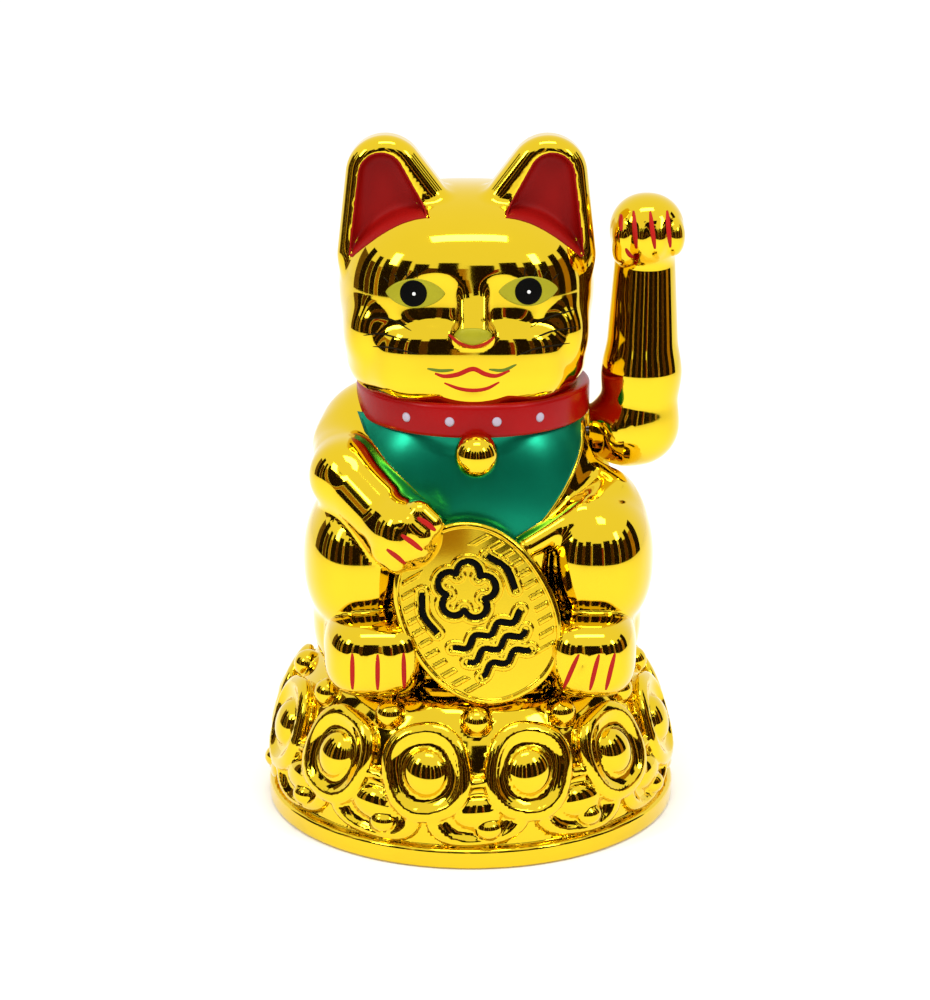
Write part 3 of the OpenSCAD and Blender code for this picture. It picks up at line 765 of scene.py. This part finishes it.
def coin_height(u, v):
    """Height of the coin's face above its middle plane."""
    size = (np.abs(u) / COIN_HALF[0]) ** COIN_POWER + (np.abs(v) / COIN_HALF[1]) ** COIN_POWER
    size **= 1 / COIN_POWER
    inside = (1 - size) * np.hypot(u, v) / np.maximum(size, 0.05)
    height = COIN_FIELD + 0.55 * step_up(1.25 - inside, 0.5)
    pitch = 2.75  # of the short raised bars near the rim
    tick = np.abs(u / pitch - np.round(u / pitch)) * pitch
    band = step_up(inside - 2.0, 0.4) * step_up(5.0 - inside, 0.4) * step_up(14.0 - np.abs(u), 0.4)
    height += 0.4 * band * step_up(0.5 - tick, 0.4) * (np.abs(v) > 5)
    lines = np.full(u.shape, 99.0)
    for route in ORNAMENT:
        lines = np.minimum(lines, route_distance(u, v, route))
    height += 0.4 * step_up(0.45 - np.abs(lines - INK_WIDTH * 0.5 - 0.4), 0.35)
    drop = np.clip(1 - inside / COIN_EDGE, 0, 1)
    return height - COIN_EDGE * (1 - np.sqrt(1 - drop ** 2))


def on_coin(u, v, height):
    """Points at places on the coin and heights above its middle plane."""
    return COIN_CENTRE + u[:, None] * COIN_LONG + v[:, None] * COIN_SHORT + height[:, None] * COIN_OUT


def model_coin():
    rings, around = ((116, 460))
    turn = np.linspace(0, 2 * np.pi, around, endpoint=False)
    size = (np.abs(np.cos(turn)) ** COIN_POWER + np.abs(np.sin(turn)) ** COIN_POWER) ** (-1 / COIN_POWER)
    reach = np.linspace(0, 1, rings + 1)[1:] ** 0.9
    u = np.append(0, (reach[:, None] * size * np.cos(turn) * COIN_HALF[0]).ravel())
    v = np.append(0, (reach[:, None] * size * np.sin(turn) * COIN_HALF[1]).ravel())
    step = 0.03
    height = coin_height(u, v)
    slope_u = (coin_height(u + step, v) - coin_height(u - step, v)) / (2 * step)
    slope_v = (coin_height(u, v + step) - coin_height(u, v - step)) / (2 * step)
    normals = COIN_OUT - slope_u[:, None] * COIN_LONG - slope_v[:, None] * COIN_SHORT
    outer = slice(len(u) - around, None)
    rim = np.stack([u[outer] / COIN_HALF[0] ** 2, v[outer] / COIN_HALF[1] ** 2], 1)
    rim /= np.linalg.norm(rim, axis=1)[:, None]
    side = rim[:, :1] * COIN_LONG + rim[:, 1:] * COIN_SHORT
    normals[outer] = side
    tops = on_coin(u, v, height)
    low = on_coin(u[outer], v[outer], np.full(around, COIN_BACK + COIN_EDGE * 0.5))
    under = on_coin(u[outer] * 0.97, v[outer] * 0.97, np.full(around, COIN_BACK))
    vertices = np.vstack([tops, low, under, COIN_CENTRE + COIN_BACK * COIN_OUT])
    normals = np.vstack([normals, side, side - 2 * COIN_OUT, -COIN_OUT])
    normals /= np.linalg.norm(normals, axis=1)[:, None]
    near, after = np.arange(around), np.roll(np.arange(around), -1)
    middle = np.full(around, len(vertices) - 1)
    faces = [np.stack([np.zeros(around, int), 1 + near, 1 + after, 1 + after], 1)]
    for ring in range(rings + 1):
        a, b = 1 + ring * around, 1 + (ring + 1) * around
        faces.append(np.stack([a + near, b + near, b + after, a + after], 1))
    last = 1 + (rings + 1) * around
    faces.append(np.stack([last + near, middle, last + after, last + after], 1))
    return new_object("held_coin", vertices, np.vstack(faces), GOLD, "figure", normals)


model_coin()


# ---- Paint: thin solids pressed onto a surface from the front ----

PRESS_START = -56.0


def press(field, x, z):
    """Where lines along +Y from the front first meet the field, and the surface normals there."""
    points = np.stack([x, np.full(len(x), PRESS_START), z], 1)
    for _ in range(70):
        d = sample(field, points)
        points[:, 1] += np.clip(0.7 * d, -0.4, 7)
        if np.abs(d).max() < 0.004:
            break
    return points, value_and_normal(field, points)[1]


def layer(points, normals, faces, top, bottom):
    """Closed thin solid: the faces lifted to top, the same faces sunk to bottom, and walls between."""
    faces = np.asarray(faces)
    count = len(points)
    vertices = np.vstack([points + normals * np.asarray(top)[..., None], points - normals * bottom])
    edges = {}
    for face in faces.tolist():
        for a, b in zip(face, face[1:] + face[:1]):
            if (b, a) in edges:
                del edges[(b, a)]
            else:
                edges[(a, b)] = True
    walls = [(b, a, a + count, b + count) for a, b in edges]
    return vertices, np.vstack([faces, faces[:, ::-1] + count, np.array(walls)])


def patch(name, field, outline, rings, top, material, body, bottom=0.3):
    """Painted area inside an outline, an even number of (x, z) points around its middle."""
    outline = np.array(outline, float)
    after = np.roll(outline, -1, axis=0)
    if np.sum(outline[:, 0] * after[:, 1] - outline[:, 1] * after[:, 0]) < 0:
        outline = outline[::-1]
    middle = outline.mean(0)
    n = len(outline)
    flat = np.vstack([middle + (outline - middle) * max(r / rings, 0.02) for r in range(rings + 1)])
    faces = [(i, i + 1, n - 2 - i, n - 1 - i) for i in range(n // 2 - 1)]
    faces += [((r + 1) * n + i, (r + 1) * n + (i + 1) % n, r * n + (i + 1) % n, r * n + i)
              for r in range(rings) for i in range(n)]
    points, normals = press(field, flat[:, 0], flat[:, 1])
    vertices, faces = layer(points, normals, faces, np.full(len(points), top), bottom)
    return new_object(name, vertices, faces, material, body)


RIBBON = np.linspace(-1, 1, 5)  # places across a ribbon
CROWN = 1 - 0.5 * RIBBON ** 2   # how high the paint stands there


def ribbons(routes, halves):
    """Flat ribbons along routes: their points, five across, and their faces."""
    flat, faces, start = [], [], 0
    for route, half in zip(routes, halves):
        n = len(route)
        run = np.gradient(route, axis=0)
        run /= np.linalg.norm(run, axis=1)[:, None]
        side = half[:, None] * np.stack([-run[:, 1], run[:, 0]], 1)
        flat.append((route[:, None] + RIBBON[None, :, None] * side[:, None]).reshape(-1, 2))
        faces += [(start + 5 * i + k, start + 5 * i + 5 + k, start + 5 * i + 6 + k, start + 5 * i + 1 + k)
                  for i in range(n - 1) for k in range(4)]
        start += 5 * n
    return np.vstack(flat), faces


def strokes(name, field, routes, material, body, top=0.07, bottom=0.25, taper=0.6):
    """Brush strokes, each a route of (x, z) points and a width."""
    halves = [0.5 * width * (1 - taper * np.abs(np.linspace(-1, 1, len(route))) ** 3)
              for route, width in routes]
    flat, faces = ribbons([route for route, width in routes], halves)
    points, normals = press(field, flat[:, 0], flat[:, 1])
    lifts = np.tile(top * CROWN, len(flat) // len(RIBBON))
    vertices, faces = layer(points, normals, faces, lifts, bottom)
    return new_object(name, vertices, faces, material, body)


def circle(x, z, r, n=40):
    angles = np.linspace(0, 2 * np.pi, n, endpoint=False)
    return np.stack([x + r * np.cos(angles), z + r * np.sin(angles)], 1)


# ---- Face ----

EYES = ((-12.1, 120.7), (12.1, 121.1))
EYE_HALF = (6.3, 3.15)
PUPIL_R = 2.85


def almond(x, z):
    angles = np.linspace(0, 2 * np.pi, 72, endpoint=False)
    lid = np.sign(np.sin(angles)) * np.abs(np.sin(angles)) ** 1.5
    return np.stack([x + EYE_HALF[0] * np.cos(angles), z + EYE_HALF[1] * lid], 1)


def paint_face():
    """Eyes, nose, lips, whiskers and lashes, with a painted highlight on each pupil and painted shade beside
    the mouth.
    """
    for name, (x, z) in zip(("right", "left"), EYES):
        lids = almond(x + (0.4 if x < 0 else 0), z)
        # A small white dot beside the middle of each pupil is a painted highlight.
        painted_highlight = circle(x + 0.1, z - 0.1, 0.38, 16)
        patch(f"eye_{name}", figure_field, lids, 10, 0.06, OLIVE, "figure")
        patch(f"pupil_{name}", figure_field, circle(x, z, PUPIL_R), 6, 0.11, INK, "figure")
        patch(f"glint_{name}", figure_field, painted_highlight, 2, 0.15, PAINTED_EYE_HIGHLIGHT, "figure")
    nose = smooth_route([(-3.6, 112.6), (-2.0, 114.2), (2.6, 114.2), (4.4, 112.6), (2.6, 111.5),
                         (0.4, 110.8), (-1.9, 111.5), (-3.6, 112.6)], 6)[:-1]
    patch("nose_patch", figure_field, nose, 5, 0.08, OLIVE, "figure")
    red = [(smooth_route([(-4.7, 112.5), (-2.4, 111.0), (0.5, 110.2), (2.8, 110.8), (4.9, 112.1)]), 1.0),
           (smooth_route([(-7.6, 104.3), (-5.6, 103.7), (-2.8, 104.1), (0.4, 105.3), (3.0, 104.2),
                          (5.4, 103.8), (8.2, 104.9)]), 1.0),
           (smooth_route([(-5.6, 102.2), (-2.6, 101.0), (0.5, 100.6), (3.4, 101.0), (6.0, 102.4)]), 0.8)]
    strokes("lip_strokes", figure_field, red, STROKE_RED, "figure")
    # Dark olive strokes beside the lip line: painted shade under the lip.
    mouth_shade_routes = [(smooth_route([(-9.2, 105.3), (-6.4, 104.9), (-3.6, 105.1)], 6), 0.7),
             (smooth_route([(3.8, 105.2), (6.8, 105.0), (9.6, 106.2)], 6), 0.7)]
    strokes("mouth_tints", figure_field, mouth_shade_routes, MOUTH_SHADE, "figure", 0.04)
    dark = []
    whiskers = (((-22.6, 114.6), (-17.5, 115.0), (-12.6, 113.0)),
                ((-22.8, 111.2), (-19.0, 111.8), (-12.6, 111.0)),
                ((-20.8, 108.9), (-16.8, 109.3), (-11.0, 108.3)),
                ((12.6, 113.6), (17.0, 115.4), (22.6, 116.4)),
                ((12.9, 111.4), (17.0, 112.4), (22.5, 112.8)),
                ((9.6, 108.1), (14.4, 109.5), (21.0, 109.5)))
    for points in whiskers:
        dark.append((smooth_route(points), 0.36))
    for (x, z), out in zip(EYES, (-1, 1)):
        for lash in range(4):
            foot = np.array([x + out * (-0.8 + 2.0 * lash), z + 3.25 - 0.28 * lash ** 1.4])
            tip = foot + np.array([out * (0.2 + 0.35 * lash), 1.9 - 0.25 * lash])
            dark.append((smooth_route([foot, (foot + tip) / 2 + (out * -0.1, 0), tip], 4), 0.26))
    strokes("whisker_lines", figure_field, dark, LINE_INK, "figure", 0.13, 0.2, 0.7)


def ear_paint_outline(side):
    """Edge of the red inside an ear, found outwards from its middle."""
    middle = np.array([HEAD_MID + side * 18.0, 139.0])
    outline = []
    for angle in np.linspace(0, 2 * np.pi, 120, endpoint=False):
        way = np.array([math.cos(angle), math.sin(angle)])
        r = np.linspace(0, 24, 481)
        x, z = middle[0] + r * way[0], middle[1] + r * way[1]
        ledge = 135.4 - 0.03 * (side * (x - HEAD_MID) - 7) ** 2 - z
        outside = np.maximum(ear_cup_outline(x, z, side) + 0.15, ledge)
        outline.append(middle + way * r[np.argmax(outside > 0)])
    return outline


def paint_ears():
    for name, side in (("right", -1), ("left", 1)):
        patch(f"ear_paint_{name}", figure_field, ear_paint_outline(side), 40, 0.16, EAR_RED, "figure")


# ---- Collar, bell and bib ----

COLLAR_LOW, COLLAR_HIGH, COLLAR_R, COLLAR_X = 90.2, 97.6, 25.7, 0.5


def add_collar():
    """Red ring round the neck, with a rounded outer face."""
    inner = COLLAR_R - 4.5
    edge = 1.1
    profile = [(inner, COLLAR_LOW + 0.4), (inner, COLLAR_HIGH - 0.4)]
    for z_mid, angles in ((COLLAR_HIGH - edge, range(90, -1, -15)), (COLLAR_LOW + edge, range(0, -91, -15))):
        for angle in angles:
            a = math.radians(angle)
            profile.append((COLLAR_R - edge + edge * math.cos(a), z_mid + edge * math.sin(a)))
    n, around = len(profile), 180
    turns = [2 * math.pi * i / around for i in range(around)]
    vertices = [(COLLAR_X + r * math.sin(turn), -r * math.cos(turn), z) for turn in turns for r, z in profile]
    faces = [(i * n + k, i * n + (k + 1) % n, (i + 1) % around * n + (k + 1) % n, (i + 1) % around * n + k)
             for i in range(around) for k in range(n)]
    new_object("red_collar", vertices, faces, RED, "figure")


def domes(name, places, radius, height, material, body):
    """Small raised dots, each at a middle and an outward direction."""
    rings, around = 4, 20
    vertices, faces = [], []
    near, after = np.arange(around), np.roll(np.arange(around), -1)
    for middle, outward in places:
        start = len(vertices)
        middle, outward = np.array(middle), np.array(outward) / np.linalg.norm(outward)
        across = np.cross((0, 0, 1.0), outward)
        across /= np.linalg.norm(across)
        up = np.cross(outward, across)
        vertices.append(middle + height * outward)
        for t in np.linspace(0, 1, rings + 1)[1:]:
            for angle in np.linspace(0, 2 * np.pi, around, endpoint=False):
                flat = radius * t * (math.cos(angle) * across + math.sin(angle) * up)
                vertices.append(middle + flat + height * math.sqrt(1 - t * t) * outward)
        vertices.append(middle - 1.5 * height * outward)
        first, last = start + 1, start + 1 + (rings - 1) * around
        faces.append(np.stack([np.full(around, start), first + near, first + after, first + after], 1))
        for a in range(first, last, around):
            faces.append(np.stack([a + near, a + around + near, a + around + after, a + after], 1))
        under = np.full(around, len(vertices) - 1)
        faces.append(np.stack([last + near, under, last + after, last + after], 1))
    new_object(name, vertices, np.vstack(faces), material, body)


def add_collar_dots():
    places = []
    for angle in (-33.75, -11.25, 11.25, 33.75):
        turn = math.radians(angle)
        outward = (math.sin(turn), -math.cos(turn), 0)
        z = (COLLAR_LOW + COLLAR_HIGH) / 2
        places.append(((COLLAR_X + COLLAR_R * outward[0], COLLAR_R * outward[1], z), outward))
    domes("collar_dots", places, 1.05, 0.3, PEARL, "figure")


# Outline of the bib from its left top corner down and round. The first five points carry the hem.
BIB = [(24.6, 91.5), (23.6, 84.5), (20.4, 78.0), (16.2, 72.2), (11.6, 67.6), (4.5, 69.0), (-3.5, 71.0),
       (-12.0, 75.5), (-19.5, 82.0), (-24.6, 91.5), (-12.5, 92.0), (0, 92.0), (12.5, 92.0), (24.6, 91.5)]


def add_bib():
    body = torso_model()[:3] + [(1, rounded_disc(84, 100, 22.5, 3), 1)]
    field = solid_field(body)
    corners = np.array(BIB)
    outline = np.vstack([a + (b - a) * np.linspace(0, 1, 10, endpoint=False)[:, None]
                         for a, b in zip(corners, corners[1:])])
    patch("teal_bib", field, outline, 26, 0.45, TEAL, "figure", 0.4)
    hem = smooth_route([(24.0, 89.6)] + BIB[1:5], 10)
    strokes("bib_hem", field, [(hem, 0.9)], GOLD, "figure", 0.62, 0.3, 0.1)


# ---- Claws and the coin's ink ----

HELD_CLAWS = (((-17.7, 69.2), (-13.8, 65.8)), ((-14.6, 72.6), (-10.2, 69.0)), ((-11.2, 76.0), (-7.4, 73.2)))


def paint_claws():
    """Claw strokes of the held paw, the feet and the beckoning paw."""
    held = []
    for start, end in HELD_CLAWS:
        start, end = np.array(start), np.array(end)
        held.append((smooth_route([start, (start + end) / 2 + (0.2, 0.1), end], 8), 1.15))
    feet = []
    for claws in FOOT_CLAWS:
        for high, low in claws:
            stroke = [(high, CLAW_TOP), ((high + low) / 2, 42.0), (low, CLAW_LOW)]
            feet.append((smooth_route(stroke, 10), 1.0))
    strokes("claw_strokes", figure_field, held + feet, STROKE_RED, "figure", 0.08, 0.3)
    wave = [(smooth_route([(high, 135.6), ((high + low) / 2 - 0.1, 131.8), (low, 127.8)], 10), 1.0)
            for high, low in PAW_CLAWS]
    wave.append((smooth_route([(32.3, 134.6), (32.1, 133.0), (32.2, 131.4)], 6), 0.9))
    wave.append((smooth_route([(33.2, 127.6), (34.0, 126.2), (34.9, 125.4)], 6), 0.9))
    strokes("paw_strokes", arm_field, wave, STROKE_RED, "arm", 0.08, 0.3)


def ink_coin():
    """Black ornament, as thin ribbons on the coin's own face."""
    halves = [0.5 * INK_WIDTH * (1 - 0.35 * np.abs(np.linspace(-1, 1, len(route))) ** 6)
              for route in ORNAMENT]
    flat, faces = ribbons(ORNAMENT, halves)
    lifts = np.tile(COIN_FIELD + 0.12 * CROWN, len(flat) // len(RIBBON))
    points = on_coin(flat[:, 0], flat[:, 1], lifts)
    outward = np.tile(COIN_OUT, (len(points), 1))
    vertices, faces = layer(points, outward, faces, np.zeros(len(points)), 0.5)
    new_object("coin_ink", vertices, faces, INK, "figure")


paint_face()
paint_ears()
add_collar()
add_collar_dots()
add_bib()
paint_claws()
ink_coin()


# ---- Camera, floor and light ----

def aim(thing, spot):
    """Point a camera, a lamp or a panel at a spot."""
    thing.rotation_euler = (Vector(spot) - thing.location).to_track_quat("-Z", "Y").to_euler()


def add_camera():
    data = bpy.data.cameras.new("camera")
    data.lens = 95.0
    data.sensor_width = 36.0
    camera = add_to_scene("camera", data)
    camera.location = (0, -0.565, 0.240)
    aim(camera, (-0.0013, 0, 0.069))
    bpy.context.scene.camera = camera


def card(name, centre, size, facing, color):
    """Flat panel that shows only in reflections."""
    w, h = size[0] / 2, size[1] / 2
    mesh = bpy.data.meshes.new(name)
    mesh.from_pydata([(-w, -h, 0), (w, -h, 0), (w, h, 0), (-w, h, 0)], [], [(0, 1, 2, 3)])
    panel = add_to_scene(name, mesh)
    panel.location = centre
    aim(panel, facing)
    mesh.materials.append(new_material(name, color, 0.9, 0, 0.05, 6, Specular_IOR_Level=0.0))
    panel.visible_camera = False
    panel.visible_shadow = False
    panel.visible_diffuse = False
    panel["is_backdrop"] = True


def area_light(name, centre, size, power):
    data = bpy.data.lights.new(name, "AREA")
    data.shape = "RECTANGLE"
    data.size, data.size_y = size
    data.energy = power
    light = add_to_scene(name, data)
    light.location = centre
    aim(light, (0, 0, 0.08))


# Panels round the front: azimuth and width in degrees, height of the top in degrees, and tone.
ROOM = ((-108, 12, 30, "dim"), (-96, 12, 38, "dark"), (-85, 9, 28, "brown"), (-76, 8, 36, "dark"),
        (-69, 5, 26, "amber"), (-59, 14, 36, "dark"), (-49, 6, 30, "brown"), (-40, 12, 38, "dark"),
        (-32, 3, 27, "rust"), (-24, 12, 35, "dark"), (-15, 6, 30, "brown"), (-7, 10, 37, "dark"),
        (-1, 2, 30, "amber"), (6, 11, 34, "dark"), (13, 3, 27, "rust"), (22, 14, 37, "dark"),
        (32, 6, 31, "brown"), (41, 12, 36, "dark"), (49, 3, 26, "rust"), (57, 12, 34, "dark"),
        (67, 8, 28, "brown"), (77, 12, 38, "dark"), (88, 10, 30, "amber"), (100, 14, 38, "dark"))
ROOM_COLORS = {"dark": (0.012, 0.007, 0.004), "brown": (0.07, 0.028, 0.008), "rust": (0.22, 0.03, 0.012),
               "amber": (0.34, 0.17, 0.03), "dim": (0.12, 0.07, 0.03)}
ROOM_R = 0.95


def add_room():
    """Dim room all round the front, which the plating mirrors above the edge of the table."""
    for i, (angle, width, top, color) in enumerate(ROOM):
        turn = math.radians(angle)
        height = ROOM_R * math.tan(math.radians(top))
        half = math.radians(width) * ROOM_R
        card(f"room_{i}", (ROOM_R * math.sin(turn), -ROOM_R * math.cos(turn), height / 2), (half, height),
             (0, 0, height / 2), ROOM_COLORS[color])


def add_stage():
    """Pale floor, white surroundings, three soft lamps and the room."""
    mesh = bpy.data.meshes.new("floor")
    mesh.from_pydata([(-3, -3, 0), (3, -3, 0), (3, 1.2, 0), (-3, 1.2, 0)], [], [(0, 1, 2, 3)])
    floor = add_to_scene("floor", mesh)
    mesh.materials.append(new_material("floor", (0.96, 0.96, 0.96), 0.6, 0, 0.01, 3))
    floor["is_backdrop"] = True
    world = bpy.data.worlds.new("world")
    world.use_nodes = True
    world.node_tree.nodes["Background"].inputs["Color"].default_value = (1, 1, 1, 1)
    world.node_tree.nodes["Background"].inputs["Strength"].default_value = 1.06
    bpy.context.scene.world = world
    area_light("top_box", (0.02, -0.24, 0.88), (0.42, 0.15), 2.3)
    area_light("left_box", (-0.62, -0.45, 0.62), (0.14, 0.24), 1.5)
    area_light("right_box", (0.55, -0.45, 0.60), (0.12, 0.20), 1.1)
    add_room()
    bpy.context.scene.view_settings.view_transform = "Standard"


add_camera()
# ---- Looks of the CAD parts ----

# Roughness, metallic, colour variation, grain and bump of each class of material.
FINISHES = {"gloss_plastic": (0.22, 0.0, 0.06, 60, 0.015), "matte_plastic": (0.5, 0.0, 0.08, 90, 0.04),
            "brushed_steel": (0.3, 1.0, 0.07, 120, 0.02), "brass": (0.28, 1.0, 0.08, 100, 0.02)}


def finish_cad_parts():
    """A procedural material for each CAD part, from the colour and class of its slot in the record."""
    made = {"gold_plate": GOLD}
    for entry in frame["record"]["materials"]:
        rough, metallic, vary, grain, bump = FINISHES.get(entry["class"], FINISHES["matte_plastic"])
        color = [c ** 2.2 for c in entry["base_color"]]
        made.setdefault(entry["slot"], new_material("cad_" + entry["slot"], color, rough, metallic,
                                                    vary, grain, bump))
    for node in frame["nodes"].values():
        for place, plain in enumerate(node.data.materials):
            node.data.materials[place] = made[plain.name]


finish_cad_parts()
add_stage()

visual_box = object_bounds()
repr([[list(corner) for corner in box] for box in (cad_box, visual_box)])
